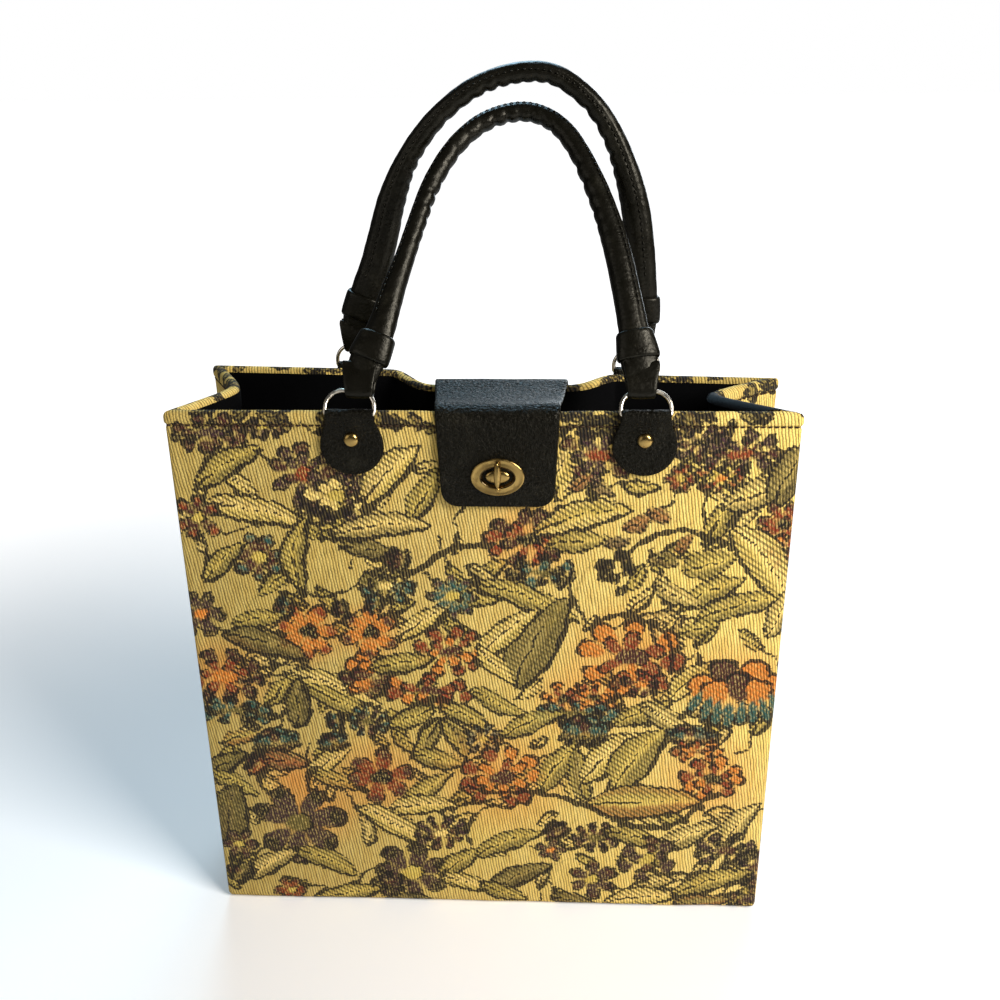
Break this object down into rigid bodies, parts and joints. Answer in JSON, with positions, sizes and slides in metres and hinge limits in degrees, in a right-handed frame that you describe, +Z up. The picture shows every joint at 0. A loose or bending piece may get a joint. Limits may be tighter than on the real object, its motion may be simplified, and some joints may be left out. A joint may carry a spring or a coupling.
{
  "type": "tapestry tote bag",
  "caption": "Standing tote bag of floral tapestry with a dark lining, a leather flap held by a turn lock, and rolled leather handles on D-rings.",
  "frame": {"origin": "on the floor under the middle of the bag's base", "axes": "+Z up, +X to the right seen from the front, the panel with the lock faces -Y"},
  "size_m": [0.33, 0.1128, 0.485],
  "materials": {
    "tapestry": "ribbed jacquard weave",
    "board": "plain",
    "lining": "dull satin",
    "leather": "fine grain, worn sheen",
    "aged_brass": "antique, worn bright on the edges",
    "ring_metal": "polished pale nickel",
    "cord": "twisted cord"
  },
  "bodies": {
    "bag": {"front_panel": "tapestry", "back_panel": "tapestry", "left_gusset": "tapestry", "right_gusset": "tapestry", "base_panel": "tapestry", "front_stiffener": "board", "back_stiffener": "board", "base_board": "board", "lining": "lining", "closure_flap": "leather", "lock_plate": "aged_brass", "lock_back_plate": "aged_brass", "lock_base": "aged_brass", "lock_washer": "aged_brass", "front_left_tab": "leather", "front_right_tab": "leather", "back_left_tab": "leather", "back_right_tab": "leather", "rivet_caps": "aged_brass", "rivet_backs": "aged_brass"},
    "front_grip": {"front_handle": "leather", "front_handle_core": "cord", "front_left_sleeve": "leather", "front_right_sleeve": "leather", "front_rings": "ring_metal"},
    "back_grip": {"back_handle": "leather", "back_handle_core": "cord", "back_left_sleeve": "leather", "back_right_sleeve": "leather", "back_rings": "ring_metal"},
    "knob": {"lock_knob": "aged_brass"}
  },
  "joints": [
    {"name": "front_handle_swing", "type": "hinge", "parent": "bag", "child": "front_grip", "pos_m": [0.009, -0.05425, 0.3215], "axis": [1, 0, 0], "range_deg": [-16, 172]},
    {"name": "back_handle_swing", "type": "hinge", "parent": "bag", "child": "back_grip", "pos_m": [0.00426, 0.03059, 0.32174], "axis": [-0.997, 0.0779, -0.0014], "range_deg": [-2, 139]},
    {"name": "lock_turn", "type": "hinge", "parent": "bag", "child": "knob", "pos_m": [0.009, -0.055, 0.2883], "axis": [0, -1, 0], "range_deg": [0, 90]}
  ]
}
